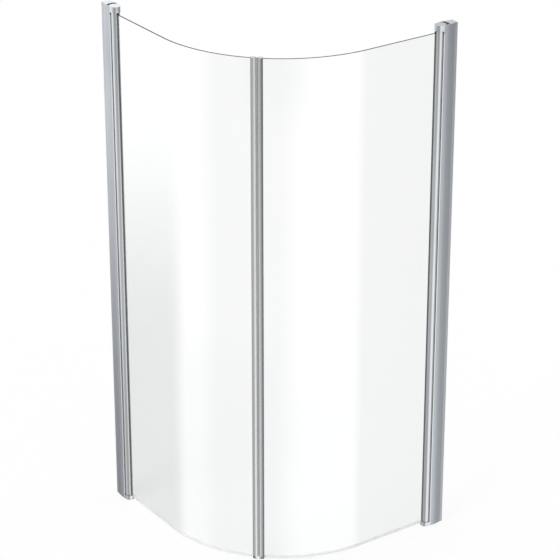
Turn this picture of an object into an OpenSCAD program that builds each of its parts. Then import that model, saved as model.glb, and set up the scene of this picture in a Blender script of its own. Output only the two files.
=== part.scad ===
// Quadrant corner shower enclosure: two wall posts and two curved glass doors.
// Millimetres, +Z up, origin on the floor under the middle of the square it fills.
// Left and right are as seen from outside the shower, looking into the corner.

/* [Enclosure] */
// Side of the square corner, from the walls to the crowns of the posts
size = 900; // [800:10:1000]
// Height of the wall posts
height = 1994; // [1800:2:2200]
// Radius of the curved part of the doors, to the middle of the glass
glass_radius = 500; // [450:10:550]

/* [Glass] */
// Thickness of the toughened glass
glass_t = 6; // [5:0.5:8]
// Height of the glass's lower edge above the floor
glass_bottom = 18; // [18:1:30]
// Space between the glass's upper edge and the top hinge block
glass_top_gap = 6; // [3:1:12]

/* [Wall channel] */
// Wall thickness of the channel that is screwed to the wall
channel_wall = 2; // [1.5:0.1:3]
// How far the channel reaches out from the wall
channel_len = 30; // [24:1:34]
// Space between the channel's upper end and the legs of the post's cap
channel_top_gap = 1; // [0.5:0.5:15]
// Sliding clearance between the channel and the post around it
slide_gap = 0.3; // [0.1:0.05:0.5]
// Diameter of each wall fixing hole
wall_hole_d = 5.5; // [4:0.5:8]
// Number of wall fixing holes in each channel
wall_hole_count = 4; // [3:1:6]
// Distance between neighbouring wall fixing holes
wall_hole_pitch = 550; // [300:10:650]

/* [Post] */
// Thickness of the post across its widest place
post_w = 40; // [36:1:44]
// Wall thickness of the post
post_wall = 1.8; // [1.4:0.1:2.4]
// Shadow gap between the wall and the post
wall_gap = 1; // [1:0.5:5]
// Distance from the wall to the end of the post's flat lip
lip_end = 12; // [9:1:15]
// How far the flat lip stands back from the cambered face
lip_step = 0.5; // [0.5:0.1:1.5]
// Radius of the cambered faces
camber_r = 160; // [120:5:240]
// Distance from the wall to the crown of the camber
camber_u = 45; // [40:1:50]

/* [Hinge] */
// Distance from the wall to the hinge axis
pivot_u = 68.5; // [66:0.5:74]
// Radius of the round hinge profile
knuckle_r = 16.5; // [15:0.25:17]
// Running gap between the round hinge profile and the post's hollow front
knuckle_gap = 1.5; // [0.8:0.1:1.5]
// How far the post's front edges stop short of the hinge axis
tip_setback = 7.5; // [7:0.25:9]
// Wall thickness of the hinge profile
hinge_wall = 1.6; // [1.2:0.1:2]
// Reach of the hinge profile's jaws past the hinge axis
jaw_len = 17; // [16.75:0.25:17.5]
// Thickness of the gasket beside the glass
gasket_t = 1.2; // [0.8:0.1:1.4]
// How far the gasket stands out of the jaws
gasket_lip = 2.8; // [1.5:0.1:3]
// Height of the top hinge block
top_block_h = 22; // [16:1:30]
// Height of the bottom hinge block
bottom_block_h = 17; // [14:1:17]
// Distance from the wall to the back of a hinge block's tail
block_back_u = 45; // [41:0.5:46]
// Corner radius at the back of a hinge block's tail
block_back_r = 15; // [12:0.5:15]
// Sliding clearance between a hinge block's tail and the post around it
block_gap = 0.2; // [0.1:0.05:0.3]
// Diameter of the pivot pins
pin_d = 5; // [4:0.25:6]
// Length of a pivot pin inside the hinge profile
pin_reach = 22; // [15:1:30]
// Thickness of hinge block left behind the end of a pivot pin
pin_cover = 4; // [3:0.5:5]
// Radial running clearance between pin and bush
pin_gap = 0.05; // [0.03:0.01:0.1]
// Wall thickness of the bushes
bush_wall = 2; // [1.5:0.1:2.2]
// Length of a bush inside the hinge profile
bush_len = 26; // [20:1:34]
// Thickness of the bush flange that the door turns on
flange_t = 1; // [0.8:0.1:2.5]
// Width of the bush flange outside the bush
flange_lip = 2.5; // [2:0.25:2.75]
// Width of the seal strip in the post's hollow front
post_seal_w = 3; // [2:0.5:5]
// Depth of the groove that holds the seal strip
post_seal_deep = 2; // [1.5:0.25:3]
// Clearance between the seal strip and the turning hinge profile
post_seal_gap = 0.3; // [0.2:0.05:0.5]

/* [Post cap] */
// Thickness of the cap that closes the top of the post
cap_t = 3; // [2:0.5:4]
// Slot between the cap and the top hinge block, which the top seal fills
cap_slot = 12; // [6:0.5:12.5]
// Length of the cap's legs inside the post
cap_leg = 12; // [8:1:20]
// Thickness of the cap's legs
cap_leg_t = 1.5; // [1:0.1:2]
// Fitting clearance around the cap
cap_gap = 0.1; // [0.05:0.05:0.2]
// Thickness of the seal in the slot behind the top hinge block
top_seal_t = 4; // [2:0.5:8]
// How far the top seal lies below the top of the post
top_seal_drop = 0.5; // [0.5:0.5:2]

/* [Edge profile] */
// Length of the edge profile from the middle of the seam
edge_len = 21; // [18:0.5:26]
// Thickness of the edge profile's walls
edge_wall = 1.4; // [1:0.1:1.6]
// Distance of the grip ridge from the middle of the seam
ridge_t = 9.5; // [8.5:0.5:12]
// Height of the grip ridge above the middle of the glass
ridge_h = 9; // [8.5:0.5:12]
// Radius on top of the grip ridge
ridge_r = 1.2; // [0.8:0.1:1.5]
// Clearance between the glass and the edge profile's slot
edge_gap = 0.5; // [0.3:0.05:0.7]
// Depth of the glass in the edge profile's slot
edge_grip = 10.5; // [9:0.5:12]
// Distance of the edge profile's nose from the middle of the seam
nose_t = 3; // [2.5:0.1:3.5]
// Half width of the edge profile's nose
nose_h = 2.9; // [2.6:0.1:3.2]
// Height of the edge profile's lower end above the floor
edge_bottom = 11; // [8:1:14]
// How far the edge profile stands above the glass
edge_rise = 3; // [2.5:0.5:8]
// Thickness of the end caps
end_cap_t = 1.5; // [1:0.1:2]
// Length of the pegs on the end caps
end_peg = 8; // [5:1:12]

/* [Magnet strips] */
// Air gap between the two magnet strips when the doors are shut
seam_gap = 0.6; // [0.5:0.05:1]
// Radius of the magnet strip's nose
magnet_r = 1.6; // [1.2:0.1:1.8]
// Half width of the magnet strip where it leaves the edge profile
magnet_h = 2.5; // [2:0.1:2.6]
// Half width of the strip's neck inside the edge profile
neck_h = 1.1; // [0.8:0.1:1.3]
// Length of the strip's neck
neck_len = 1.5; // [1.2:0.1:1.8]
// Half width of the strip's root inside the edge profile
root_h = 2.1; // [1.8:0.1:2.3]
// Length of the strip's root
root_len = 1.4; // [1:0.1:1.6]
// Height of the magnet strip's lower end above the glass's lower edge
magnet_rise = 1; // [0:1:10]

/* [Drip seal] */
// Thickness of the drip seal's walls
seal_t = 1; // [0.8:0.1:1.5]
// Height of the seal's clip beside the glass
seal_clip = 9; // [6:0.5:14]
// Clearance between the glass and the seal's clip
seal_gap = 0.1; // [0.05:0.05:0.2]
// Height of the seal's web under the glass
seal_web = 2; // [1.5:0.1:3]
// Drop of the seal's fin below the web
fin_drop = 8; // [4:0.5:9]
// How far the fin leans into the shower
fin_lean = 2.6; // [1:0.1:4]
// Clearance between the seal and the pieces at its two ends
seal_end_gap = 2.5; // [2:0.1:3.5]

/* [Screws] */
// Diameter of the screws that clamp the post to its channel
clamp_d = 4; // [3:0.5:5]
// Length of the clamp screws under the head
clamp_len = 12; // [10:0.5:14]
// Distance of the clamp screws from the wall
clamp_u = 21; // [18:1:24]
// Number of clamp screws in each post
clamp_count = 3; // [2:1:5]
// Distance between neighbouring clamp screws
clamp_pitch = 800; // [300:10:850]
// Diameter of the screws that hold the hinge blocks
block_screw_d = 4; // [3:0.5:5]
// Length of the hinge block screws under the head
block_screw_len = 11; // [8:0.5:13]
// Distance of the hinge block screws from the wall
block_screw_u = 55; // [53:0.5:56]
// Clearance around a screw's shank and head in the post
screw_gap = 0.2; // [0.1:0.05:0.4]
// Height of the screw heads
head_t = 2; // [1.5:0.1:3]
// Diameter of a screw head as a multiple of its shank's
head_ratio = 1.8; // [1.6:0.1:2]

/* [Hidden] */
$fn = 96;
big_fn = 720;
arc_steps = 8;
cut = 1;

// Each side is drawn in its own plan: u runs out from the wall, v runs in from the outer face.
mid = post_w / 2;
tip_u = pivot_u - tip_setback;
lip_v = camber_drop(lip_end) + lip_step;
lip_in = lip_v + post_wall;
channel_v = lip_in + slide_gap;
channel_h = height - cap_t - cap_leg - channel_top_gap;
block_end_r = mid - camber_drop(pivot_u);
hollow_r = knuckle_r + knuckle_gap;
groove_u = pivot_u - hollow_r - post_seal_deep;
glass_h = glass_t / 2;
slot_h = glass_h + gasket_t;
jaw_h = slot_h + hinge_wall;
pin_r = pin_d / 2;
bush_r = pin_r + pin_gap + bush_wall;
flange_r = bush_r + flange_lip;
slot_a = bush_r + hinge_wall;
glass_a = slot_a + gasket_t;
hinge_z0 = bottom_block_h + flange_t;
hinge_z1 = height - top_block_h - flange_t;
glass_z0 = glass_bottom;
glass_z1 = height - top_block_h - glass_top_gap;
gasket_z0 = max(glass_z0, hinge_z0);
edge_z0 = edge_bottom + end_cap_t;
edge_z1 = glass_z1 + edge_rise - end_cap_t;
magnet_z0 = glass_z0 + magnet_rise;
arc_u = size - mid - glass_radius;
arc_v = mid + glass_radius;
edge_slot_h = glass_h + edge_gap;
edge_lip_h = edge_slot_h + edge_wall;
glass_end = edge_len - edge_grip + edge_gap;
slot_end = edge_len - edge_grip;
clamp_z0 = height / 2 - (clamp_count - 1) * clamp_pitch / 2;
wall_hole_z0 = height / 2 - (wall_hole_count - 1) * wall_hole_pitch / 2;

// Drop of a cambered face below its crown at a distance from the wall
function camber_drop(u) = camber_r - sqrt(camber_r ^ 2 - (u - camber_u) ^ 2);

// Direction from c of the point where a line from p touches the circle around c, on the side s
function touch(p, c, r, s) = atan2(p.y - c.y, p.x - c.x) + s * acos(r / norm(p - c));

// Points along a circle from one direction to another
function arc(c, r, a0, a1) =
    [for (i = [0 : arc_steps]) let (a = a0 + (a1 - a0) * i / arc_steps) c + r * [cos(a), sin(a)]];

// The same points on the other side of the glass, in the opposite order
function flipped(points) = [for (i = [len(points) - 1 : -1 : 0]) [points[i].x, -points[i].y]];

// A closed outline from its points on one side of the glass
function both_sides(points) = concat(points, flipped(points));

// Centre of the circle that fits inside a triangle
function incentre(a, b, c) =
    let (la = norm(b - c), lb = norm(c - a), lc = norm(a - b))
    (la * a + lb * b + lc * c) / (la + lb + lc);

// Radius of the circle that fits inside a triangle
function inradius(a, b, c) =
    abs((b.x - a.x) * (c.y - a.y) - (b.y - a.y) * (c.x - a.x))
    / (norm(b - c) + norm(c - a) + norm(a - b));

// Distance on the line through p and q at the height y
function line_t(p, q, y) = p.x + (q.x - p.x) * (y - p.y) / (q.y - p.y);

// Corners of the thick part beside the glass slot, before its walls are taken off
lip_corner = [-edge_len, edge_lip_h];
ridge_top = [-ridge_t, ridge_h];
nose_corner = [-nose_t, nose_h];
ridge_middle = [-ridge_t, ridge_h - ridge_r];
flank_a = [line_t(lip_corner, ridge_top, edge_slot_h), edge_slot_h];
flank_b = [line_t(ridge_top, nose_corner, edge_slot_h), edge_slot_h];
flank_in = incentre(flank_a, ridge_top, flank_b);
flank_r = inradius(flank_a, ridge_top, flank_b);
peg_r = flank_r - edge_wall - cap_gap;

// One side of the root and neck that hold the magnet strip inside the edge profile
magnet_root = [
    [-nose_t - neck_len - root_len, root_h], [-nose_t - neck_len, root_h],
    [-nose_t - neck_len, neck_h]
];

module left() {
    translate([-size / 2, -size / 2, 0]) children();
}

module right() {
    mirror([1, 1, 0]) left() children();
}

module at_pivot(z = 0) {
    translate([pivot_u, mid, z]) children();
}

// Plan at the middle of the seam: x runs along the glass towards the other door
module at_seam(z = 0) {
    translate([arc_u, arc_v, z])
        rotate([0, 0, -45])
            translate([glass_radius, 0, 0])
                rotate([0, 0, 90])
                    children();
}

// A section, x outwards from the glass and y upwards, carried along the door
module along_door(from_u, end_t) {
    translate([arc_u, mid, 0])
        rotate([90, 0, -90])
            linear_extrude(arc_u - from_u)
                children();
    translate([arc_u, arc_v, 0])
        rotate([0, 0, -90])
            rotate_extrude(angle = 45 - end_t / glass_radius * 180 / PI, $fn = big_fn)
                translate([glass_radius, 0])
                    children();
}

// Space between the two cambered faces, each moved in by the inset
module camber(inset, from_u, to_u) {
    intersection() {
        translate([camber_u, camber_r]) circle(r = camber_r - inset, $fn = big_fn);
        translate([camber_u, post_w - camber_r]) circle(r = camber_r - inset, $fn = big_fn);
        translate([from_u, 0]) square([to_u - from_u, post_w]);
    }
}

// Outline of a hinge block's tail, with round corners towards the wall
module tail_shape(grow) {
    low = post_wall + block_gap;
    r = block_back_r + grow;
    back = block_back_u - grow;
    side = low + block_back_r;
    translate([back + r, 0]) square([tip_u - back - r + cut, post_w]);
    translate([back, side]) square([r + cut, post_w - 2 * side]);
    for (v = [side, post_w - side]) translate([back + r, v]) circle(r = r);
}

// Places a screw head on the post's inner face, pointing into the post
module on_inner_face(u) {
    translate([u, post_w - camber_drop(u), 0]) rotate([90, 0, 0]) children();
}

// Pan head screw that starts at the origin and runs up the Z axis
module screw(d, len) {
    cylinder(d = d, h = len);
    translate([0, 0, -head_t]) cylinder(d = head_ratio * d, h = head_t);
}

// Hole for a screw's shank through the post's wall, with a flat spot under the head
module screw_hole(d, len) {
    cylinder(r = d / 2 + screw_gap, h = len);
    translate([0, 0, -head_t]) cylinder(r = head_ratio * d / 2 + screw_gap, h = head_t);
}

// Fixed pieces on the wall

module wall_channel() {
    width = post_w - 2 * channel_v;
    color("silver")
        difference() {
            translate([0, channel_v, 0]) cube([channel_len, width, channel_h]);
            translate([channel_wall, channel_v + channel_wall, -cut])
                cube([channel_len, width - 2 * channel_wall, channel_h + 2 * cut]);
            for (i = [0 : wall_hole_count - 1])
                translate([-cut, mid, wall_hole_z0 + i * wall_hole_pitch])
                    rotate([0, 90, 0])
                        cylinder(d = wall_hole_d, h = channel_wall + 2 * cut);
            clamp_places() cylinder(d = clamp_d, h = clamp_len + cut);
        }
}

module clamp_places() {
    for (i = [0 : clamp_count - 1])
        translate([0, 0, clamp_z0 + i * clamp_pitch])
            on_inner_face(clamp_u)
                children();
}

module block_screw_places() {
    for (z = [bottom_block_h / 2, height - top_block_h / 2])
        translate([0, 0, z])
            on_inner_face(block_screw_u)
                children();
}

module post_profile() {
    color("lightsteelblue")
        difference() {
            linear_extrude(height) post_section();
            // The web is cut away at both ends, where the hinge blocks go in
            translate([0, 0, -cut]) linear_extrude(bottom_block_h + cut) block_pocket();
            translate([0, 0, height - top_block_h]) linear_extrude(top_block_h + cut) block_pocket();
            clamp_places() screw_hole(clamp_d, channel_v);
            block_screw_places() screw_hole(block_screw_d, 2 * post_wall);
        }
}

module post_section() {
    difference() {
        union() {
            camber(0, lip_end, tip_u);
            translate([wall_gap, lip_v]) square([lip_end - wall_gap + cut, post_w - 2 * lip_v]);
        }
        difference() {
            union() {
                camber(post_wall, lip_end + post_wall, tip_u - post_wall);
                translate([0, lip_in]) square([lip_end + post_wall + cut, post_w - 2 * lip_in]);
            }
            translate([pivot_u, mid]) circle(r = hollow_r + post_wall);
            translate([groove_u - post_wall, mid - post_seal_w / 2 - post_wall])
                square([post_seal_deep + 2 * post_wall, post_seal_w + 2 * post_wall]);
        }
        translate([pivot_u, mid]) circle(r = hollow_r);
        translate([groove_u, mid - post_seal_w / 2])
            square([post_seal_deep + cut, post_seal_w]);
    }
}

module block_pocket() {
    camber(post_wall, block_back_u - cut, tip_u + cut);
}

module post_top_cap() {
    inner = post_wall + cap_gap;
    reach = block_back_u - cap_slot;
    color("gainsboro")
        difference() {
            union() {
                translate([0, 0, height - cap_t]) linear_extrude(cap_t) {
                    camber(inner, lip_end + inner, block_back_u + block_back_r);
                    translate([wall_gap, lip_in + cap_gap])
                        square([lip_end + inner - wall_gap + cut, post_w - 2 * (lip_in + cap_gap)]);
                }
                translate([0, 0, height - cap_t - cap_leg]) linear_extrude(cap_leg + cut)
                    difference() {
                        camber(inner, lip_end + 2 * inner, reach - 2 * inner);
                        camber(inner + cap_leg_t, 0, block_back_u);
                    }
            }
            translate([0, 0, height - cap_t - cut]) linear_extrude(cap_t + 2 * cut)
                tail_shape(cap_slot);
        }
}

module hinge_block(h) {
    difference() {
        linear_extrude(h) {
            intersection() {
                camber(post_wall + block_gap, block_back_u, tip_u + cut);
                tail_shape(0);
            }
            camber(0, tip_u + block_gap, pivot_u);
            translate([pivot_u, mid]) circle(r = block_end_r);
        }
        at_pivot(-cut) cylinder(r = pin_r, h = h - pin_cover + cut);
    }
}

module top_hinge_block() {
    color("lightgray")
        difference() {
            translate([0, 0, height - top_block_h]) hinge_block(top_block_h);
            block_screw_places() cylinder(d = block_screw_d, h = block_screw_len + cut);
        }
}

module bottom_hinge_block() {
    color("lightgray")
        difference() {
            // Turned over about the post's middle plane, so its bore opens upwards
            translate([0, 0, bottom_block_h]) mirror([0, 0, 1]) hinge_block(bottom_block_h);
            block_screw_places() cylinder(d = block_screw_d, h = block_screw_len + cut);
        }
}

module top_pivot_pin() {
    color("dimgray")
        at_pivot(height - top_block_h - pin_reach)
            cylinder(r = pin_r, h = pin_reach + top_block_h - pin_cover);
}

module bottom_pivot_pin() {
    color("dimgray")
        at_pivot(pin_cover)
            cylinder(r = pin_r, h = bottom_block_h - pin_cover + pin_reach);
}

module clamp_screws() {
    color("gray") clamp_places() screw(clamp_d, clamp_len);
}

module block_screws() {
    color("gray") block_screw_places() screw(block_screw_d, block_screw_len);
}

module post_seal() {
    color("darkslategray")
        translate([groove_u, mid - post_seal_w / 2, hinge_z0])
            cube([post_seal_deep + knuckle_gap - post_seal_gap, post_seal_w, hinge_z1 - hinge_z0]);
}

// Soft strip that closes the post's top between the cap and the top hinge block
module top_seal() {
    color("darkslategray")
        translate([0, 0, height - top_seal_drop - top_seal_t])
            linear_extrude(top_seal_t)
                difference() {
                    intersection() {
                        camber(post_wall + cap_gap, block_back_u - cap_slot, block_back_u + block_back_r);
                        tail_shape(cap_slot - cap_gap);
                    }
                    tail_shape(cap_gap);
                }
}

// Turning pieces of a door

module hinge_profile() {
    color("lightsteelblue")
        at_pivot(hinge_z0)
            linear_extrude(hinge_z1 - hinge_z0)
                difference() {
                    union() {
                        circle(r = knuckle_r);
                        translate([0, -jaw_h]) square([jaw_len, 2 * jaw_h]);
                    }
                    circle(r = bush_r);
                    translate([slot_a, -slot_h]) square([jaw_len, 2 * slot_h]);
                    hinge_chambers();
                }
}

// Four long hollows around the bush and the jaws, with ribs between them
module hinge_chambers() {
    difference() {
        circle(r = knuckle_r - hinge_wall);
        circle(r = bush_r + hinge_wall);
        translate([0, -jaw_h]) square([knuckle_r, 2 * jaw_h]);
        translate([-knuckle_r, -hinge_wall / 2]) square([knuckle_r, hinge_wall]);
        translate([-hinge_wall / 2, -knuckle_r]) square([hinge_wall, 2 * knuckle_r]);
    }
}

module bush() {
    difference() {
        union() {
            cylinder(r = flange_r, h = flange_t);
            cylinder(r = bush_r, h = flange_t + bush_len);
        }
        translate([0, 0, -cut]) cylinder(r = pin_r + pin_gap, h = flange_t + bush_len + 2 * cut);
    }
}

module top_bush() {
    color("whitesmoke") at_pivot(height - top_block_h) mirror([0, 0, 1]) bush();
}

module bottom_bush() {
    color("whitesmoke") at_pivot(bottom_block_h) bush();
}

module glass_gasket() {
    lip_h = jaw_h - hinge_wall / 4;
    tip_h = glass_h + gasket_t / 3;
    color([0.25, 0.27, 0.28])
        at_pivot(gasket_z0)
            linear_extrude(glass_z1 - gasket_z0)
                difference() {
                    union() {
                        translate([slot_a, -slot_h]) square([jaw_len - slot_a, 2 * slot_h]);
                        polygon([
                            [jaw_len, -lip_h], [jaw_len + gasket_lip, -tip_h],
                            [jaw_len + gasket_lip, tip_h], [jaw_len, lip_h]
                        ]);
                    }
                    translate([glass_a, -glass_h]) square([jaw_len + gasket_lip, glass_t]);
                }
}

module glass() {
    color([0.82, 0.9, 0.88, 0.35])
        along_door(pivot_u + glass_a, glass_end)
            translate([-glass_h, glass_z0])
                square([glass_t, glass_z1 - glass_z0]);
}

module drip_seal() {
    clip_in = glass_h + seal_gap;
    clip_out = clip_in + seal_t;
    clip_z = glass_z0 + seal_clip;
    web_z = glass_z0 - seal_web;
    fin_z = web_z - fin_drop;
    color([0.9, 0.93, 0.93, 0.6])
        along_door(pivot_u + block_end_r + seal_end_gap, edge_len + seal_end_gap)
            polygon([
                [-clip_out, clip_z], [-clip_out, web_z], [-seal_t / 2, web_z],
                [-seal_t / 2 - fin_lean, fin_z], [seal_t / 2 - fin_lean, fin_z],
                [seal_t / 2, web_z], [clip_out, web_z], [clip_out, clip_z],
                [clip_in, clip_z], [clip_in, glass_z0], [-clip_in, glass_z0], [-clip_in, clip_z]
            ]);
}

// Outline of the edge profile: lip beside the glass, rounded grip ridge, nose
module edge_outline() {
    lip_side = touch(lip_corner, ridge_middle, ridge_r, -1) + 360;
    nose_side = touch(nose_corner, ridge_middle, ridge_r, 1);
    ridge = arc(ridge_middle, ridge_r, lip_side, nose_side);
    polygon(both_sides(concat([lip_corner], ridge, [nose_corner])));
}

// Long hollow inside a flank, a wall's thickness from each of its three sides
module edge_chamber() {
    k = 1 - edge_wall / flank_r;
    polygon([for (p = [flank_a, ridge_top, flank_b]) flank_in + k * (p - flank_in)]);
}

module edge_profile() {
    color("lightsteelblue")
        at_seam(edge_z0)
            linear_extrude(edge_z1 - edge_z0)
                difference() {
                    edge_outline();
                    translate([-edge_len - cut, -edge_slot_h])
                        square([edge_len - slot_end + cut, 2 * edge_slot_h]);
                    edge_chamber();
                    mirror([0, 1]) edge_chamber();
                    polygon(both_sides(concat(magnet_root, [[-nose_t + cut, neck_h]])));
                }
}

module edge_end_caps() {
    color("silver")
        for (top = [false, true])
            at_seam(top ? edge_z1 : edge_bottom) {
                linear_extrude(end_cap_t) edge_outline();
                for (s = [-1, 1])
                    translate([flank_in.x, s * flank_in.y, top ? -end_peg : end_cap_t / 2])
                        cylinder(r = peg_r, h = end_peg + end_cap_t / 2);
            }
}

module magnet_strip() {
    tip = [-seam_gap / 2 - magnet_r, 0];
    corner = [-nose_t, magnet_h];
    side = touch(corner, tip, magnet_r, -1);
    foot = concat(magnet_root, [[-nose_t, neck_h], corner]);
    color([0.72, 0.74, 0.75])
        at_seam(magnet_z0)
            linear_extrude(edge_z1 - magnet_z0)
                polygon(concat(foot, arc(tip, magnet_r, side, -side), flipped(foot)));
}

left() wall_channel();  // left_wall_channel
left() post_profile();  // left_post_profile
left() post_top_cap();  // left_post_top_cap
left() top_hinge_block();  // left_top_hinge_block
left() bottom_hinge_block();  // left_bottom_hinge_block
left() top_pivot_pin();  // left_top_pivot_pin
left() bottom_pivot_pin();  // left_bottom_pivot_pin
left() clamp_screws();  // left_clamp_screws
left() block_screws();  // left_block_screws
left() post_seal();  // left_post_seal
left() top_seal();  // left_top_seal
left() hinge_profile();  // left_hinge_profile
left() top_bush();  // left_top_bush
left() bottom_bush();  // left_bottom_bush
left() glass_gasket();  // left_glass_gasket
left() glass();  // left_glass
left() drip_seal();  // left_drip_seal
left() edge_profile();  // left_edge_profile
left() edge_end_caps();  // left_edge_end_caps
left() magnet_strip();  // left_magnet_strip
right() wall_channel();  // right_wall_channel
right() post_profile();  // right_post_profile
right() post_top_cap();  // right_post_top_cap
right() top_hinge_block();  // right_top_hinge_block
right() bottom_hinge_block();  // right_bottom_hinge_block
right() top_pivot_pin();  // right_top_pivot_pin
right() bottom_pivot_pin();  // right_bottom_pivot_pin
right() clamp_screws();  // right_clamp_screws
right() block_screws();  // right_block_screws
right() post_seal();  // right_post_seal
right() top_seal();  // right_top_seal
right() hinge_profile();  // right_hinge_profile
right() top_bush();  // right_top_bush
right() bottom_bush();  // right_bottom_bush
right() glass_gasket();  // right_glass_gasket
right() glass();  // right_glass
right() drip_seal();  // right_drip_seal
right() edge_profile();  // right_edge_profile
right() edge_end_caps();  // right_edge_end_caps
right() magnet_strip();  // right_magnet_strip
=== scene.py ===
import math

import bmesh
import bpy
from mathutils import Matrix, Vector


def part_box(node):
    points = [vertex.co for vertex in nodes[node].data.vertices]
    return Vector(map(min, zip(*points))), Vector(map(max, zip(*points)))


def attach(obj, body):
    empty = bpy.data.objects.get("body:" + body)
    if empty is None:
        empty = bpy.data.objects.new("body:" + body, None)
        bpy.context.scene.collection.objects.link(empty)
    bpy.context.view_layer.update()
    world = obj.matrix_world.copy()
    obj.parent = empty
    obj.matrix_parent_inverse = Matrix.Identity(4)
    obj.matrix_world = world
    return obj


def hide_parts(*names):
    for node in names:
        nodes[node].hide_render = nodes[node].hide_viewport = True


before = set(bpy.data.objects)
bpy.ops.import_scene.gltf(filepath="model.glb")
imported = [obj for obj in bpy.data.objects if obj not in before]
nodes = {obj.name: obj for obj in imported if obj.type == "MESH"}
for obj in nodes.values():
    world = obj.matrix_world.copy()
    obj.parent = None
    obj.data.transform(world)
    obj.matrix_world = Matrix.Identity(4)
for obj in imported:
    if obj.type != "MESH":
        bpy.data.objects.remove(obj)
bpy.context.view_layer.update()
sides = ("left", "right")
scene = bpy.context.scene
print("frame loaded:", len(nodes), "CAD nodes")


# small helpers for node trees

def feed(tree, socket, value):
    if isinstance(value, bpy.types.NodeSocket):
        tree.links.new(value, socket)
    else:
        socket.default_value = value


def addNode(tree, kind, inputs=None, **settings):
    node = tree.nodes.new(kind)
    for name, value in settings.items():
        setattr(node, name, value)
    for name, value in (inputs or {}).items():
        feed(tree, node.inputs[name], value)
    return node


def calc(tree, operation, *values, clamp=False):
    node = addNode(tree, "ShaderNodeMath", operation=operation, use_clamp=clamp)
    for socket, value in zip(node.inputs, values):
        feed(tree, socket, value)
    return node.outputs[0]


def ramp(tree, value, low, high, lowOut=0.0, highOut=1.0):
    node = addNode(tree, "ShaderNodeMapRange", clamp=True, interpolation_type="SMOOTHSTEP")
    for socket, number in zip(node.inputs, (value, low, high, lowOut, highOut)):
        feed(tree, socket, number)
    return node.outputs[0]


def mixColor(tree, factor, first, second):
    node = addNode(tree, "ShaderNodeMix", data_type="RGBA")
    feed(tree, node.inputs[0], factor)
    feed(tree, node.inputs[6], first)
    feed(tree, node.inputs[7], second)
    return node.outputs[2]


def newGroup(name, kind, inputs, outputs):
    tree = bpy.data.node_groups.new(name, kind)
    for label, socketKind, value in inputs:
        socket = tree.interface.new_socket(
            name=label, in_out="INPUT", socket_type="NodeSocket" + socketKind)
        if value is not None:
            socket.default_value = value
    for label, socketKind in outputs:
        tree.interface.new_socket(name=label, in_out="OUTPUT", socket_type="NodeSocket" + socketKind)
    given, out = tree.nodes.new("NodeGroupInput").outputs, tree.nodes.new("NodeGroupOutput").inputs
    return tree, given, out


# shader groups that several finishes share

def makeDrawnLines():
    # fine lines that the die leaves along an aluminium profile
    tree, given, out = newGroup(
        "drawnLines", "ShaderNodeTree",
        [("Vector", "Vector", None), ("Lines per Metre", "Float", 900.0), ("Strength", "Float", 1.0)],
        [("Tone", "Float"), ("Roughness", "Float"), ("Height", "Float")])
    stretch = addNode(tree, "ShaderNodeVectorMath", operation="MULTIPLY",
                      inputs={0: given["Vector"], 1: (1.0, 1.0, 0.0012)})
    fine = addNode(tree, "ShaderNodeTexNoise", inputs={
        "Vector": stretch.outputs[0], "Scale": given["Lines per Metre"], "Detail": 3.0, "Roughness": 0.6})
    broadScale = calc(tree, "MULTIPLY", given["Lines per Metre"], 0.16)
    broad = addNode(tree, "ShaderNodeTexNoise", inputs={
        "Vector": stretch.outputs[0], "Scale": broadScale, "Detail": 2.0})
    both = calc(tree, "ADD", calc(tree, "MULTIPLY", fine.outputs["Fac"], 0.6),
                calc(tree, "MULTIPLY", broad.outputs["Fac"], 0.4))
    centred = calc(tree, "MULTIPLY", calc(tree, "SUBTRACT", both, 0.5), given["Strength"])
    feed(tree, out["Tone"], calc(tree, "ADD", calc(tree, "MULTIPLY", centred, 0.5), 0.5))
    feed(tree, out["Roughness"], calc(tree, "MULTIPLY", centred, 0.35))
    feed(tree, out["Height"], both)
    return tree


def makeFineGrain():
    # the soft grain of moulded plastic, cast metal and rubber
    tree, given, out = newGroup(
        "fineGrain", "ShaderNodeTree",
        [("Vector", "Vector", None), ("Grains per Metre", "Float", 1400.0), ("Strength", "Float", 1.0)],
        [("Tone", "Float"), ("Roughness", "Float"), ("Height", "Float")])
    grain = addNode(tree, "ShaderNodeTexNoise", inputs={
        "Vector": given["Vector"], "Scale": given["Grains per Metre"], "Detail": 2.0})
    cells = addNode(tree, "ShaderNodeTexVoronoi", inputs={
        "Vector": given["Vector"], "Scale": given["Grains per Metre"]})
    cloud = addNode(tree, "ShaderNodeTexNoise", inputs={
        "Vector": given["Vector"], "Scale": 24.0, "Detail": 2.0})
    centred = calc(tree, "MULTIPLY", calc(tree, "SUBTRACT", cloud.outputs["Fac"], 0.5), given["Strength"])
    feed(tree, out["Tone"], calc(tree, "ADD", calc(tree, "MULTIPLY", centred, 0.6), 0.5))
    feed(tree, out["Roughness"], calc(tree, "MULTIPLY", centred, 0.3))
    feed(tree, out["Height"], calc(tree, "ADD", grain.outputs["Fac"],
                                   calc(tree, "MULTIPLY", cells.outputs["Distance"], 0.5)))
    return tree


def makeWipeMarks():
    # faint broad marks that a cloth leaves when a wet surface is wiped dry
    tree, given, out = newGroup(
        "wipeMarks", "ShaderNodeTree",
        [("Vector", "Vector", None), ("Marks per Metre", "Float", 6.0), ("Strength", "Float", 1.0)],
        [("Mask", "Float"), ("Roughness", "Float")])
    tilt = addNode(tree, "ShaderNodeMapping", inputs={
        "Vector": given["Vector"], "Rotation": (0.5, 0.35, 0.2), "Scale": (1.0, 1.0, 0.35)})
    marks = addNode(tree, "ShaderNodeTexNoise", inputs={
        "Vector": tilt.outputs[0], "Scale": given["Marks per Metre"], "Detail": 5.0, "Distortion": 0.8})
    mask = calc(tree, "MULTIPLY", ramp(tree, marks.outputs["Fac"], 0.5, 0.75), given["Strength"])
    feed(tree, out["Mask"], mask)
    feed(tree, out["Roughness"], calc(tree, "MULTIPLY", mask, 0.08))
    return tree


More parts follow.
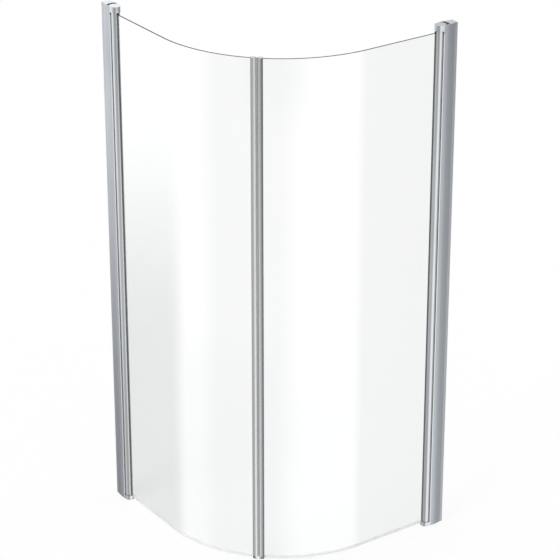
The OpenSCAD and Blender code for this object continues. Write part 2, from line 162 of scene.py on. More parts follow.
drawnLines = makeDrawnLines()
fineGrain = makeFineGrain()
wipeMarks = makeWipeMarks()
print("shader groups built")


# plan of the left side, seen from above; the right side is its mirror image

plan = dict(
    postMiddle=-0.430,     # y of the middle of the left post and of the glass
    wall=-0.450,           # x of the left wall
    postFront=0.061,       # from the wall to the post's front edges
    bendStart=-0.070,      # x where the flat part of a pane ends
    bendRadius=0.500,      # to the middle of the glass
)


# finishes

finishLooks = {
    "satin_aluminium": dict(kind="metal", light=(0.605, 0.64, 0.68), dark=(0.515, 0.55, 0.59),
                            roughness=0.30, lines=1100.0, bump=0.10,
                            # the front edges beside the doors get a pale painted highlight with less metal,
                            # stopping just below the top
                            worn=(0.96, 0.97, 0.98), wornMetal=0.15,   # front edges beside the doors
                            wornBand=(-0.0018, -0.0010), wornTop=(1.961, 1.963),
                            # the right post's edge beside the wall gets a darker painted shade
                            lip=(0.36, 0.37, 0.38), lipShadeBand=(0.0018, 0.0034)),
    "bright_aluminium": dict(kind="metal", light=(0.56, 0.575, 0.59), dark=(0.49, 0.505, 0.52),
                             roughness=0.14, lines=1500.0, bump=0.05),
    "hinge_block": dict(kind="metal", light=(0.56, 0.575, 0.59), dark=(0.49, 0.505, 0.52),
                        roughness=0.16, lines=1300.0, bump=0.05),
    "mill_aluminium": dict(kind="metal", light=(0.60, 0.61, 0.62), dark=(0.48, 0.49, 0.50),
                           roughness=0.42, lines=700.0, bump=0.16),
    "steel": dict(kind="metal", light=(0.62, 0.61, 0.60), dark=(0.52, 0.51, 0.50),
                  roughness=0.22, lines=2200.0, bump=0.05),
    "screw_steel": dict(kind="metal", light=(0.58, 0.575, 0.57), dark=(0.44, 0.435, 0.43),
                        roughness=0.30, lines=2600.0, bump=0.06),
    "grey_cap": dict(kind="metal", light=(0.58, 0.595, 0.61), dark=(0.51, 0.525, 0.54),
                     roughness=0.24, lines=1300.0, bump=0.05),
    # near-black rubber seals; where a seal lies in the slot at a post's top it is also painted near-black to
    # stand in for the shade in that slot
    "dark_seal": dict(kind="plastic", light=(0.05, 0.052, 0.054), dark=(0.03, 0.031, 0.032),
                      roughness=0.6, grains=1900.0, bump=0.10, gloss=0.2),
    "gasket_rubber": dict(kind="plastic", light=(0.15, 0.155, 0.16), dark=(0.11, 0.115, 0.12),
                          roughness=0.5, grains=1900.0, bump=0.10),
    "bush": dict(kind="plastic", light=(0.82, 0.82, 0.80), dark=(0.74, 0.74, 0.72),
                 roughness=0.38, grains=1500.0, bump=0.08),
    "magnet_strip": dict(kind="plastic", light=(0.34, 0.35, 0.36), dark=(0.27, 0.28, 0.29),
                         roughness=0.45, grains=1700.0, bump=0.08),
    # painted shade for the panes' top edges and painted light for their bottom edges
    "ground_edge": dict(kind="plastic", light=(0.085, 0.10, 0.095), dark=(0.05, 0.062, 0.058),
                        roughness=0.62, grains=2400.0, bump=0.12, gloss=0.15),
    "pale_edge": dict(kind="plastic", light=(0.90, 0.93, 0.92), dark=(0.84, 0.875, 0.865),
                      roughness=0.62, grains=2400.0, bump=0.10, gloss=0.3),
}
bumpDistance = 0.0004
wipeStrength = 0.7     # how much the wipe marks show on the finishes above
glassLook = dict(tint=(0.926, 0.936, 0.934), density=100.0, ior=1.58, marks=3.0, haze=0.12,
                 lampTint=(0.93, 0.95, 0.945))
clearSealLook = dict(light=(0.98, 0.99, 0.985), dark=(0.94, 0.955, 0.95), alpha=0.14, roughness=0.3,
                     gloss=0.25, grains=500.0)

# the door edge profiles: satin flanks with painted shade towards their outer edges and at their bottom end, a
# painted highlight along each crest, painted light in the hollow between the crests, and the left profile
# painted as the lit side, the right as the shaded side
edgeLook = dict(
    left=dict(flank=(0.50, 0.51, 0.52), rim=(0.44, 0.45, 0.46), ridge=(0.77, 0.78, 0.79),
              valley=(0.87, 0.88, 0.89)),
    right=dict(flank=(0.34, 0.35, 0.36), rim=(0.14, 0.145, 0.15), ridge=(0.60, 0.61, 0.62),
               valley=(0.74, 0.75, 0.76)),
    foot=(0.12, 0.122, 0.125),
    footShadeBand=(0.014, 0.026),       # heights above the floor
    rimShadeBand=(0.0135, 0.0185),      # distances from the middle of the seam
    ridgeAt=0.0095,
    ridgeWidth=0.0012,
    ridgeHeight=0.0075,            # from the middle of the glass
    groove=(0.05, 0.05, 0.05),     # the drawn lines' darkest colour
    roughness=0.26,
    lines=1100.0,
    bump=0.08,
)


def startMaterial(name):
    words = name.split("_")
    material = bpy.data.materials.new(words[0] + "".join(word.title() for word in words[1:]) + "Finish")
    material.use_nodes = True
    tree = material.node_tree
    shader = tree.nodes["Principled BSDF"]
    place = addNode(tree, "ShaderNodeTexCoord").outputs["Object"]
    return material, tree, shader, place


def bumped(tree, shader, height, strength):
    bump = addNode(tree, "ShaderNodeBump", inputs={
        "Strength": strength, "Distance": bumpDistance, "Height": height})
    tree.links.new(bump.outputs[0], shader.inputs["Normal"])


def tipHighlightMask(tree, part, look):
    # 1 on the posts' front edges beside the doors, which get a pale painted highlight; 0 at their very top,
    # where it stops so that the top stays in shade
    fromWall = calc(tree, "MINIMUM", calc(tree, "SUBTRACT", part["X"], plan["wall"]),
                    calc(tree, "SUBTRACT", -plan["wall"], part["Y"]))
    low, high = (plan["postFront"] + shift for shift in look["wornBand"])
    return calc(tree, "MULTIPLY", ramp(tree, fromWall, low, high),
                ramp(tree, part["Z"], *look["wornTop"], 1.0, 0.0))


def lipShadeMask(tree, part, look):
    # 1 on the right post's edge beside the wall, which gets a darker painted shade
    return ramp(tree, calc(tree, "SUBTRACT", -plan["wall"], part["Y"]), *look["lipShadeBand"], 1.0, 0.0)


def makeFinish(name, look):
    material, tree, shader, place = startMaterial(name)
    metal = look["kind"] == "metal"
    surface = addNode(tree, "ShaderNodeGroup", node_tree=drawnLines if metal else fineGrain)
    feed(tree, surface.inputs["Vector"], place)
    surface.inputs[1].default_value = look["lines" if metal else "grains"]
    wipe = addNode(tree, "ShaderNodeGroup", node_tree=wipeMarks)
    feed(tree, wipe.inputs["Vector"], place)
    wipe.inputs["Strength"].default_value = wipeStrength
    tone = calc(tree, "SUBTRACT", surface.outputs["Tone"], calc(tree, "MULTIPLY", wipe.outputs["Mask"], 0.12),
                clamp=True)
    color = mixColor(tree, tone, (*look["dark"], 1.0), (*look["light"], 1.0))
    shader.inputs["Metallic"].default_value = 1.0 if metal else 0.0
    if "worn" in look:
        part = addNode(tree, "ShaderNodeSeparateXYZ", inputs={0: place}).outputs
        # painted highlight on the posts' front edges
        worn = tipHighlightMask(tree, part, look)
        color = mixColor(tree, worn, color, (*look["worn"], 1.0))
        # painted shade on the right post's edge beside the wall
        color = mixColor(tree, lipShadeMask(tree, part, look), color, (*look["lip"], 1.0))
        tree.links.new(ramp(tree, worn, 0.0, 1.0, 1.0, look["wornMetal"]), shader.inputs["Metallic"])
    tree.links.new(color, shader.inputs["Base Color"])
    rough = calc(tree, "ADD", calc(tree, "ADD", surface.outputs["Roughness"], wipe.outputs["Roughness"]),
                 look["roughness"], clamp=True)
    tree.links.new(rough, shader.inputs["Roughness"])
    shader.inputs["IOR"].default_value = 1.5
    shader.inputs["Specular IOR Level"].default_value = look.get("gloss", 0.5)
    bumped(tree, shader, surface.outputs["Height"], look["bump"])
    return material


def makeEdgeFinish():
    # places on the profile are read from its distance to the middle of the seam
    look = edgeLook
    material, tree, shader, place = startMaterial("edge_aluminium")
    lines = addNode(tree, "ShaderNodeGroup", node_tree=drawnLines)
    feed(tree, lines.inputs["Vector"], place)
    lines.inputs["Lines per Metre"].default_value = look["lines"]
    part = addNode(tree, "ShaderNodeSeparateXYZ", inputs={0: place}).outputs
    centreX, centreY = plan["bendStart"], plan["postMiddle"] + plan["bendRadius"]
    x, y = calc(tree, "SUBTRACT", part["X"], centreX), calc(tree, "SUBTRACT", part["Y"], centreY)
    half = math.sqrt(0.5)
    fromMiddle = calc(tree, "MULTIPLY", calc(tree, "ADD", x, y), half)
    fromSeam = calc(tree, "ABSOLUTE", fromMiddle)
    side = ramp(tree, fromMiddle, -0.0005, 0.0005)
    outwards = calc(tree, "MULTIPLY", calc(tree, "SUBTRACT", x, y), half)
    depth = calc(tree, "ABSOLUTE", calc(tree, "SUBTRACT", outwards, plan["bendRadius"]))
    beside = calc(tree, "ABSOLUTE", calc(tree, "SUBTRACT", fromSeam, look["ridgeAt"]))
    # painted highlight along the crest, painted light in the hollow between the crests, painted shade towards
    # the outer edges
    onRidge = ramp(tree, beside, look["ridgeWidth"] * 0.6, look["ridgeWidth"], 1.0, 0.0)
    highUp = ramp(tree, depth, look["ridgeHeight"] - 0.0006, look["ridgeHeight"])
    ridge = calc(tree, "MULTIPLY", onRidge, highUp)
    valley = ramp(tree, fromSeam, look["ridgeAt"] - 0.001, look["ridgeAt"], 1.0, 0.0)
    rim = ramp(tree, fromSeam, *look["rimShadeBand"])

    # the left profile takes the lit colours and the right the darker shaded ones: painted light and shade
    def shadeBySide(name):
        return mixColor(tree, side, (*look["left"][name], 1.0), (*look["right"][name], 1.0))

    flank = mixColor(tree, rim, shadeBySide("flank"), shadeBySide("rim"))
    # painted shade at the bottom end
    flank = mixColor(tree, ramp(tree, part["Z"], *look["footShadeBand"], 1.0, 0.0), flank, (*look["foot"], 1.0))
    flank = mixColor(tree, calc(tree, "MULTIPLY", lines.outputs["Tone"], 0.12), flank, (*look["groove"], 1.0))
    inner = mixColor(tree, valley, flank, shadeBySide("valley"))
    tree.links.new(mixColor(tree, ridge, inner, shadeBySide("ridge")), shader.inputs["Base Color"])
    tree.links.new(calc(tree, "ADD", lines.outputs["Roughness"], look["roughness"], clamp=True),
                   shader.inputs["Roughness"])
    shader.inputs["Metallic"].default_value = 1.0
    bumped(tree, shader, lines.outputs["Height"], look["bump"])
    return material


def lampsThrough(tree, shader, tint):
    # light from lamps passes the glass, so that it doesn't throw a dark shadow
    path = addNode(tree, "ShaderNodeLightPath")
    clear = addNode(tree, "ShaderNodeBsdfTransparent", inputs={"Color": (*tint, 1.0)})
    mix = addNode(tree, "ShaderNodeMixShader", inputs={0: path.outputs["Is Shadow Ray"]})
    tree.links.new(shader.outputs[0], mix.inputs[1])
    tree.links.new(clear.outputs[0], mix.inputs[2])
    tree.links.new(mix.outputs[0], tree.nodes["Material Output"].inputs["Surface"])


def makeGlass():
    look = glassLook
    material, tree, shader, place = startMaterial("glass")
    shader.inputs["Base Color"].default_value = (1.0, 1.0, 1.0, 1.0)
    shader.inputs["Transmission Weight"].default_value = 1.0
    shader.inputs["IOR"].default_value = look["ior"]
    wipe = addNode(tree, "ShaderNodeGroup", node_tree=wipeMarks)
    feed(tree, wipe.inputs["Vector"], place)
    wipe.inputs["Marks per Metre"].default_value = look["marks"]
    haze = calc(tree, "MULTIPLY", wipe.outputs["Roughness"], look["haze"])
    tree.links.new(haze, shader.inputs["Roughness"])
    body = addNode(tree, "ShaderNodeVolumeAbsorption")
    body.inputs["Color"].default_value = (*look["tint"], 1.0)
    body.inputs["Density"].default_value = look["density"]
    tree.links.new(body.outputs[0], tree.nodes["Material Output"].inputs["Volume"])
    lampsThrough(tree, shader, look["lampTint"])
    return material


def makeClearSeal():
    look = clearSealLook
    material, tree, shader, place = startMaterial("clear_seal")
    grain = addNode(tree, "ShaderNodeGroup", node_tree=fineGrain)
    feed(tree, grain.inputs["Vector"], place)
    grain.inputs["Grains per Metre"].default_value = look["grains"]
    tree.links.new(mixColor(tree, grain.outputs["Tone"], (*look["dark"], 1.0), (*look["light"], 1.0)),
                   shader.inputs["Base Color"])
    tree.links.new(calc(tree, "ADD", grain.outputs["Roughness"], look["roughness"], clamp=True),
                   shader.inputs["Roughness"])
    cloudy = calc(tree, "MULTIPLY", calc(tree, "SUBTRACT", grain.outputs["Tone"], 0.5), 0.3)
    tree.links.new(calc(tree, "ADD", cloudy, look["alpha"], clamp=True), shader.inputs["Alpha"])
    shader.inputs["Specular IOR Level"].default_value = look["gloss"]
    return material


finishes = {name: makeFinish(name, look) for name, look in finishLooks.items()}
finishes["glass"] = makeGlass()
finishes["clear_seal"] = makeClearSeal()
finishes["edge_aluminium"] = makeEdgeFinish()
print("finishes built:", len(finishes))

for node in nodes.values():   # packed materials are named after their slots
    node.data.materials[0] = finishes[node.data.materials[0].name]
for side in sides:
    nodes[side + "_edge_profile"].data.materials[0] = finishes["edge_aluminium"]
    nodes[side + "_glass_gasket"].data.materials[0] = finishes["gasket_rubber"]
print("CAD nodes painted")


def toRight(mesh):
    mesh.transform(Matrix(((0, -1, 0, 0), (-1, 0, 0, 0), (0, 0, 1, 0), (0, 0, 0, 1))))


def faceOutwards(mesh):
    bm = bmesh.new()
    bm.from_mesh(mesh)
    bmesh.ops.recalc_face_normals(bm, faces=bm.faces)
    bm.to_mesh(mesh)
    bm.free()


def shadeByAngle(mesh, degrees=30):
    for polygon in mesh.polygons:
        polygon.use_smooth = True
    mesh.set_sharp_from_angle(angle=math.radians(degrees))


def grow(name, mesh, tree, values):
    # runs a geometry tree on a mesh and keeps the result as a plain mesh
    piece = bpy.data.objects.new(name, mesh)
    scene.collection.objects.link(piece)
    modifier = piece.modifiers.new(tree.name, "NODES")
    modifier.node_group = tree
    for item in tree.interface.items_tree:
        if item.in_out == "INPUT" and item.name in values:
            modifier[item.identifier] = values[item.name]
    depsgraph = bpy.context.evaluated_depsgraph_get()
    plain = bpy.data.meshes.new_from_object(piece.evaluated_get(depsgraph))
    piece.modifiers.clear()
    piece.data = plain
    return piece


def closedOutline(name, points):
    # points are (outwards from the glass, height); the sweep reads height downwards
    mesh = bpy.data.meshes.new(name)
    count = len(points)
    mesh.from_pydata([(x, -z, 0.0) for x, z in points], [(i, (i + 1) % count) for i in range(count)], [])
    return mesh


def makeBentSweep():
    # carries a closed outline along a straight run and then round a bend to the left
    tree, given, out = newGroup(
        "bentSweep", "GeometryNodeTree",
        [("Geometry", "Geometry", None), ("Start X", "Float", 0.0), ("Middle Y", "Float", 0.0),
         ("Straight Length", "Float", 0.3), ("Bend Radius", "Float", 0.5), ("Bend Angle", "Float", 0.7),
         ("Steps", "Int", 120), ("Material", "Material", None)],
        [("Geometry", "Geometry")])
    outline = addNode(tree, "GeometryNodeMeshToCurve", inputs={0: given["Geometry"]})
    line = addNode(tree, "GeometryNodeCurvePrimitiveLine", inputs={"End": (1.0, 0.0, 0.0)})
    path = addNode(tree, "GeometryNodeResampleCurve", inputs={
        "Curve": line.outputs[0], "Count": given["Steps"]})
    share = addNode(tree, "GeometryNodeSplineParameter").outputs["Factor"]
    bend = calc(tree, "MULTIPLY", given["Bend Radius"], given["Bend Angle"])
    total = calc(tree, "ADD", given["Straight Length"], bend)
    distance = calc(tree, "MULTIPLY", share, total)
    along = calc(tree, "MINIMUM", distance, given["Straight Length"])
    beyond = calc(tree, "MAXIMUM", calc(tree, "SUBTRACT", distance, given["Straight Length"]), 0.0)
    turn = calc(tree, "DIVIDE", beyond, given["Bend Radius"])
    swing = calc(tree, "MULTIPLY", given["Bend Radius"], calc(tree, "SINE", turn))
    rise = calc(tree, "MULTIPLY", given["Bend Radius"],
                calc(tree, "SUBTRACT", 1.0, calc(tree, "COSINE", turn)))
    point = addNode(tree, "ShaderNodeCombineXYZ", inputs={
        "X": calc(tree, "ADD", calc(tree, "ADD", given["Start X"], along), swing),
        "Y": calc(tree, "ADD", given["Middle Y"], rise)})
    placed = addNode(tree, "GeometryNodeSetPosition", inputs={
        "Geometry": path.outputs[0], "Position": point.outputs[0]})
    upright = addNode(tree, "GeometryNodeSetCurveNormal", mode="Z_UP", inputs={"Curve": placed.outputs[0]})
    swept = addNode(tree, "GeometryNodeCurveToMesh", inputs={
        "Curve": upright.outputs[0], "Profile Curve": outline.outputs[0], "Fill Caps": True})
    real = addNode(tree, "GeometryNodeRealizeInstances", inputs={0: swept.outputs[0]})
    dressed = addNode(tree, "GeometryNodeSetMaterial", inputs={
        "Geometry": real.outputs[0], "Material": given["Material"]})
    feed(tree, out["Geometry"], dressed.outputs[0])
    return tree


bentSweep = makeBentSweep()


def sweptPiece(side, name, points, startX, endTrim, steps, material, replaced, body):
    # one piece that follows the door; endTrim is how far it stops short of the middle of the seam
    piece = grow(side + "_" + name, closedOutline(side + "_" + name + "_outline", points), bentSweep, {
        "Start X": startX, "Middle Y": plan["postMiddle"], "Straight Length": plan["bendStart"] - startX,
        "Bend Radius": plan["bendRadius"], "Bend Angle": math.radians(45) - endTrim / plan["bendRadius"],
        "Steps": steps, "Material": finishes[material]})
    if side == "right":
        toRight(piece.data)
    faceOutwards(piece.data)
    shadeByAngle(piece.data)
    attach(piece, body)
    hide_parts(replaced)
    return piece


# glass panes

glassPane = dict(
    thickness=0.006,
    arris=0.0008,      # ground chamfer along each edge
    endTrim=0.011,     # inside the edge profile
    steps=140,
)
paneLow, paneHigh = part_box("left_glass")


def glassOutline(look):
    half, cut = look["thickness"] / 2, look["arris"]
    low, high = paneLow.z, paneHigh.z
    return [(half, low + cut), (half, high - cut), (half - cut, high), (cut - half, high),
            (-half, high - cut), (-half, low + cut), (cut - half, low), (half - cut, low)]


def paintEdges(piece):
    # ground edges: painted shade on the top ones, where a glass edge looks dark, and painted light on the
    # bottom ones, where they sit in the clear seal
    piece.data.materials.append(finishes["ground_edge"])
    piece.data.materials.append(finishes["pale_edge"])
    middle = (paneLow.z + paneHigh.z) / 2
    for polygon in piece.data.polygons:
        if abs(polygon.normal.z) > 0.3:
            polygon.material_index = 1 if polygon.center.z > middle else 2


for side in sides:
    piece = sweptPiece(side, "pane", glassOutline(glassPane), paneLow.x, glassPane["endTrim"],
                       glassPane["steps"], "glass", side + "_glass", side + "_door")
    paintEdges(piece)
print("glass panes swept")


# clear seals under the panes

dripStrip = dict(
    wall=0.001,
    clipInside=0.0031,     # half width between the clip's two legs
    clipTop=0.027,
    web=0.016,             # underside of the web below the glass
    finTip=0.008,
    finLean=0.0026,        # towards the inside of the shower
    endTrim=0.0235,
    steps=90,
)
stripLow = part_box("left_drip_seal")[0]


def dripOutline(look):
    wall, inside = look["wall"], look["clipInside"]
    outside, top = inside + wall, look["clipTop"]
    seat, web, tip, lean = paneLow.z, look["web"], look["finTip"], look["finLean"]
    middle, bend = (web + tip) / 2, lean * 0.35
    return [(outside, web), (outside, top - wall * 0.4), (outside - wall * 0.4, top),
            (inside + wall * 0.1, top), (inside, top - wall * 0.3), (inside, seat),
            (-inside, seat), (-inside, top - wall * 0.3), (-inside - wall * 0.1, top),
            (wall * 0.4 - outside, top), (-outside, top - wall * 0.4), (-outside, web),
            (-wall / 2, web), (-wall / 2 - bend, middle), (-wall * 0.4 - lean, tip),
            (wall * 0.3 - lean, tip), (wall / 2 - bend, middle), (wall / 2, web)]


for side in sides:
    sweptPiece(side, "clear_strip", dripOutline(dripStrip), stripLow.x, dripStrip["endTrim"],
               dripStrip["steps"], "clear_seal", side + "_drip_seal", side + "_door")
print("clear seals swept")


# screws: one screw in mesh code, set out in a row by a geometry tree

screwShape = dict(
    shank=0.00195,         # radius over the thread's crests
    root=0.0017,
    pitch=0.0007,
    headRadius=0.0036,
    headHeight=0.002,
    socketRadius=0.0013,
    socketDepth=0.0012,
    sides=24,
)
screwRows = {
    "clamp_screw_row": dict(node="clamp_screws", x=0.021, length=0.012, count=3, first=0.197, step=0.8),
    "block_screw_row": dict(node="block_screws", x=0.055, length=0.011, count=2, first=0.0085, step=1.9745),
}
camber = dict(radius=0.160, crown=0.045, postWidth=0.040)


def screwMesh(name, length):
    # axis along +Z from the underside of the head; the hex socket opens towards -Z
    look = screwShape
    around = look["sides"]
    head, high = look["headRadius"], look["headHeight"]
    rings = [(head * 0.45, -high), (head * 0.78, -high * 0.93), (head * 0.95, -high * 0.68),
             (head, -high * 0.35), (head, -high * 0.06), (head * 0.97, 0.0), (look["shank"], 0.0)]
    z = 0.0003
    while z < length - 0.0012:
        rings += [(look["root"], z), (look["root"], z + look["pitch"] * 0.3),
                  (look["shank"], z + look["pitch"] * 0.6)]
        z += look["pitch"]
    rings += [(look["root"], length - 0.0006), (look["root"] * 0.7, length)]
    bm = bmesh.new()

    def ring(radius, height, flat=False):
        made = []
        for i in range(around):
            a = 2 * math.pi * i / around
            r = radius
            if flat:   # six flats for the key
                r = radius * math.cos(math.pi / 6) / math.cos((a % (math.pi / 3)) - math.pi / 6)
            made.append(bm.verts.new((r * math.cos(a), r * math.sin(a), height)))
        return made

    socket = look["socketRadius"]
    loops = [ring(socket, look["socketDepth"] - high, True), ring(socket, -high, True)]
    loops += [ring(radius, height) for radius, height in rings]
    for low, up in zip(loops, loops[1:]):
        for i in range(around):
            j = (i + 1) % around
            bm.faces.new((low[i], low[j], up[j], up[i]))
    bm.faces.new(loops[0])
    bm.faces.new(reversed(loops[-1]))
    bmesh.ops.recalc_face_normals(bm, faces=bm.faces)
    mesh = bpy.data.meshes.new(name)
    bm.to_mesh(mesh)
    bm.free()
    return mesh


def makeScrewRow():
    # sets the mesh out at even steps up a line, turned to point into the post
    tree, given, out = newGroup(
        "screwRow", "GeometryNodeTree",
        [("Geometry", "Geometry", None), ("Count", "Int", 3), ("First", "Vector", None),
         ("Step", "Vector", None), ("Turn", "Vector", None), ("Material", "Material", None)],
        [("Geometry", "Geometry")])
    row = addNode(tree, "GeometryNodeMeshLine", inputs={
        "Count": given["Count"], "Start Location": given["First"], "Offset": given["Step"]})
    points = addNode(tree, "GeometryNodeMeshToPoints", inputs={"Mesh": row.outputs[0]})
    turn = addNode(tree, "FunctionNodeEulerToRotation", inputs={0: given["Turn"]})
    placed = addNode(tree, "GeometryNodeInstanceOnPoints", inputs={
        "Points": points.outputs[0], "Instance": given["Geometry"], "Rotation": turn.outputs[0]})
    real = addNode(tree, "GeometryNodeRealizeInstances", inputs={0: placed.outputs[0]})
    dressed = addNode(tree, "GeometryNodeSetMaterial", inputs={
        "Geometry": real.outputs[0], "Material": given["Material"]})
    feed(tree, out["Geometry"], dressed.outputs[0])
    return tree


screwRow = makeScrewRow()
for side in sides:
    for name, row in screwRows.items():
        drop = camber["radius"] - math.sqrt(camber["radius"] ** 2 - (row["x"] - camber["crown"]) ** 2)
        first = (plan["wall"] + row["x"], plan["wall"] + camber["postWidth"] - drop, row["first"])
        piece = grow(side + "_" + name, screwMesh(side + "_" + name, row["length"]), screwRow, {
            "Count": row["count"], "First": first, "Step": (0.0, 0.0, row["step"]),
            "Turn": (math.pi / 2, 0.0, 0.0), "Material": finishes["screw_steel"]})
        if side == "right":
            toRight(piece.data)
        faceOutwards(piece.data)
        shadeByAngle(piece.data, 35)
        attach(piece, "frame")
        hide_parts(side + "_" + row["node"])
print("screws set out")


# floor

floorLook = dict(half=45.0, height=-0.001, glow=0.85, color=(0.95, 0.95, 0.95))


def mirroredRay(tree, path):
    # 1 for a ray that metal or glass has mirrored, 0 for one that only passed through glass
    once = calc(tree, "MINIMUM", path.outputs["Glossy Depth"], 1.0)
    return calc(tree, "MULTIPLY", once, path.outputs["Is Glossy Ray"])


def makeFloor():
    half, height = floorLook["half"], floorLook["height"]
    mesh = bpy.data.meshes.new("studio_floor")
    corners = [(-half, -half, height), (half, -half, height), (half, half, height), (-half, half, height)]
    mesh.from_pydata(corners, [], [(0, 1, 2, 3)])
    floor = bpy.data.objects.new("studio_floor", mesh)
    scene.collection.objects.link(floor)
    material = bpy.data.materials.new("studio_floor_paint")
    material.use_nodes = True
    tree = material.node_tree
    tree.nodes.remove(tree.nodes["Principled BSDF"])
    path = addNode(tree, "ShaderNodeLightPath")
    seen = calc(tree, "MAXIMUM", path.outputs["Is Camera Ray"], path.outputs["Is Transmission Ray"])
    paint = addNode(tree, "ShaderNodeBsdfDiffuse", inputs={"Color": (*floorLook["color"], 1.0)})
    white = addNode(tree, "ShaderNodeEmission", inputs={"Color": (1.0, 1.0, 1.0, 1.0), "Strength": 1.0})
    mix = addNode(tree, "ShaderNodeMixShader", inputs={0: calc(tree, "MULTIPLY", seen, floorLook["glow"])})
    tree.links.new(paint.outputs[0], mix.inputs[1])
    tree.links.new(white.outputs[0], mix.inputs[2])
    # a ray that a pane's back face has mirrored goes on into the room, as the front face's does
    clear = addNode(tree, "ShaderNodeBsdfTransparent")
    final = addNode(tree, "ShaderNodeMixShader", inputs={0: mirroredRay(tree, path)})
    tree.links.new(mix.outputs[0], final.inputs[1])
    tree.links.new(clear.outputs[0], final.inputs[2])
    tree.links.new(final.outputs[0], tree.nodes["Material Output"].inputs["Surface"])
    mesh.materials.append(material)
    floor.visible_glossy = False


makeFloor()


# studio: what metal and glass mirror is the white room with soft dark screens in it

roomLook = dict(
    white=1.0,                   # what the camera sees, also through glass
    diffuse=0.78,                # what lights the object
    mirrored=1.5,                # what is mirrored from below the horizon
    aboveHorizon=0.25,
    overhead=0.95,
    horizon=(-18.0, -12.0),      # bands in degrees
    overheadBand=(5.0, 50.0),
    backFrom=(95.0, 115.0),      # two bright boards stand behind, from this compass direction on
    backAbove=(2.0, 10.0),
    backRight=0.9,
    backLeft=1.5,
    backTurn=(140.0, 150.0),     # from the right board to the left one
)
# compass: middle, half width and blur; height: lowest, highest and blur; all in degrees
screenFields = ("Middle", "Half Width", "Blur", "Lowest", "Highest", "Edge", "Depth")
screens = {
    "behind the left post": (-158.0, 27.0, 22.0, -60.0, -23.4, 6.5, 0.8),
    "beside the left post": (176.0, 35.0, 24.0, -60.0, 8.0, 4.0, 0.15),
    "low in front": (-82.0, 44.0, 14.0, -60.0, -26.6, 1.6, 0.25),
    "in front": (-64.0, 36.0, 24.0, -60.0, 30.0, 1.5, 0.43),
    "high in front": (-42.0, 25.0, 20.0, -21.0, 30.0, 1.6, 0.35),
    "at the right": (75.0, 42.0, 14.0, -60.0, 60.0, 2.0, 0.65),
}


def makeSoftScreen():
    tree, given, out = newGroup(
        "softScreen", "ShaderNodeTree",
        [("Azimuth", "Float", 0.0), ("Elevation", "Float", 0.0)] + [
            (field, "Float", 1.0) for field in screenFields],
        [("Light", "Float")])
    turned = calc(tree, "SUBTRACT", given["Azimuth"], given["Middle"])
    away = calc(tree, "ABSOLUTE", calc(tree, "WRAP", turned, 180.0, -180.0))
    inner = calc(tree, "SUBTRACT", given["Half Width"], calc(tree, "MULTIPLY", given["Blur"], 0.5))
    outer = calc(tree, "ADD", given["Half Width"], calc(tree, "MULTIPLY", given["Blur"], 0.5))
    sideways = ramp(tree, away, inner, outer, 1.0, 0.0)
    halfEdge = calc(tree, "MULTIPLY", given["Edge"], 0.5)
    under = ramp(tree, given["Elevation"], calc(tree, "SUBTRACT", given["Highest"], halfEdge),
                 calc(tree, "ADD", given["Highest"], halfEdge), 1.0, 0.0)
    over = ramp(tree, given["Elevation"], calc(tree, "SUBTRACT", given["Lowest"], halfEdge),
                calc(tree, "ADD", given["Lowest"], halfEdge), 0.0, 1.0)
    mask = calc(tree, "MULTIPLY", sideways, calc(tree, "MULTIPLY", under, over))
    feed(tree, out["Light"], calc(tree, "SUBTRACT", 1.0, calc(tree, "MULTIPLY", mask, given["Depth"])))
    return tree


softScreen = makeSoftScreen()


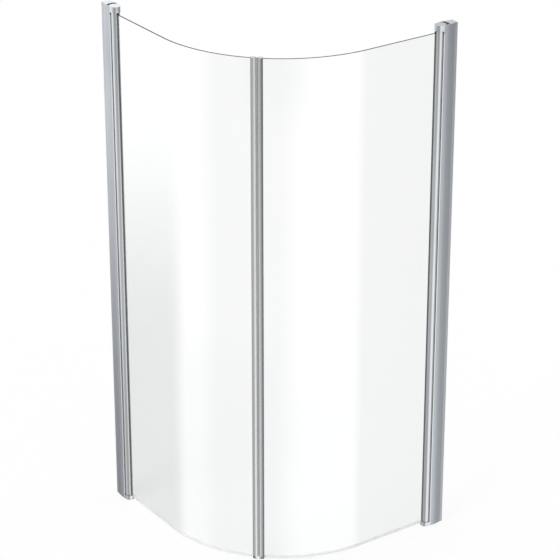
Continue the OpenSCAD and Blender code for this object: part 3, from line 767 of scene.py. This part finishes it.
def makeRoom():
    look = roomLook
    world = bpy.data.worlds.new("white_studio")
    scene.world = world
    world.use_nodes = True
    tree = world.node_tree
    direction = addNode(tree, "ShaderNodeTexCoord").outputs["Generated"]
    part = addNode(tree, "ShaderNodeSeparateXYZ", inputs={0: direction}).outputs
    azimuth = calc(tree, "DEGREES", calc(tree, "ARCTAN2", part["Y"], part["X"]))
    elevation = calc(tree, "DEGREES", calc(tree, "ARCSINE", part["Z"]))
    light = ramp(tree, elevation, *look["horizon"], look["mirrored"], look["aboveHorizon"])
    lift = ramp(tree, elevation, *look["overheadBand"], 0.0, look["overhead"] - look["aboveHorizon"])
    light = calc(tree, "ADD", light, lift)
    boards = calc(tree, "MULTIPLY", ramp(tree, azimuth, *look["backFrom"]),
                  ramp(tree, elevation, *look["backAbove"]))
    boardLight = ramp(tree, azimuth, *look["backTurn"], look["backRight"], look["backLeft"])
    light = calc(tree, "ADD", calc(tree, "MULTIPLY", light, calc(tree, "SUBTRACT", 1.0, boards)),
                 calc(tree, "MULTIPLY", boardLight, boards))
    for name, values in screens.items():
        dimmed = addNode(tree, "ShaderNodeGroup", label=name, node_tree=softScreen, inputs={
            "Azimuth": azimuth, "Elevation": elevation, **dict(zip(screenFields, values))})
        light = calc(tree, "MULTIPLY", light, dimmed.outputs["Light"])
    path = addNode(tree, "ShaderNodeLightPath")
    seen = calc(tree, "MAXIMUM", path.outputs["Is Camera Ray"], path.outputs["Is Transmission Ray"])
    plain = calc(tree, "ADD", look["diffuse"], calc(tree, "MULTIPLY", seen, look["white"] - look["diffuse"]))
    mirror = mirroredRay(tree, path)
    strength = calc(tree, "ADD", calc(tree, "MULTIPLY", mirror, light),
                    calc(tree, "MULTIPLY", calc(tree, "SUBTRACT", 1.0, mirror), plain))
    background = tree.nodes["Background"]
    background.inputs["Color"].default_value = (1.0, 1.0, 1.0, 1.0)
    tree.links.new(strength, background.inputs["Strength"])


makeRoom()
print("studio built")


# lamp and camera

sunLook = dict(strength=1.0, softness=25.0, elevation=55.0, azimuth=-80.0)


def makeSun():
    look = sunLook
    lamp = bpy.data.lights.new("soft_sun", "SUN")
    lamp.energy = look["strength"]
    lamp.angle = math.radians(look["softness"])
    sun = bpy.data.objects.new("soft_sun", lamp)
    scene.collection.objects.link(sun)
    a, e = math.radians(look["azimuth"]), math.radians(look["elevation"])
    towards = Vector((math.cos(a) * math.cos(e), math.sin(a) * math.cos(e), math.sin(e)))
    sun.rotation_euler = towards.to_track_quat("Z", "Y").to_euler()
    sun.visible_glossy = False


makeSun()

# from the photo's own perspective
cameraLook = dict(place=(6.6240, -4.6297, 4.7344), tilt=64.9613, turn=54.985, lens=155.963,
                  sensor=36.0, reach=200.0)


def makeCamera():
    data = bpy.data.cameras.new("photo_camera")
    data.sensor_width = cameraLook["sensor"]
    data.lens = cameraLook["lens"]
    data.clip_end = cameraLook["reach"]
    camera = bpy.data.objects.new("photo_camera", data)
    camera.location = cameraLook["place"]
    camera.rotation_euler = (math.radians(cameraLook["tilt"]), 0.0, math.radians(cameraLook["turn"]))
    scene.collection.objects.link(camera)
    scene.camera = camera


makeCamera()
scene.view_settings.view_transform = "Standard"
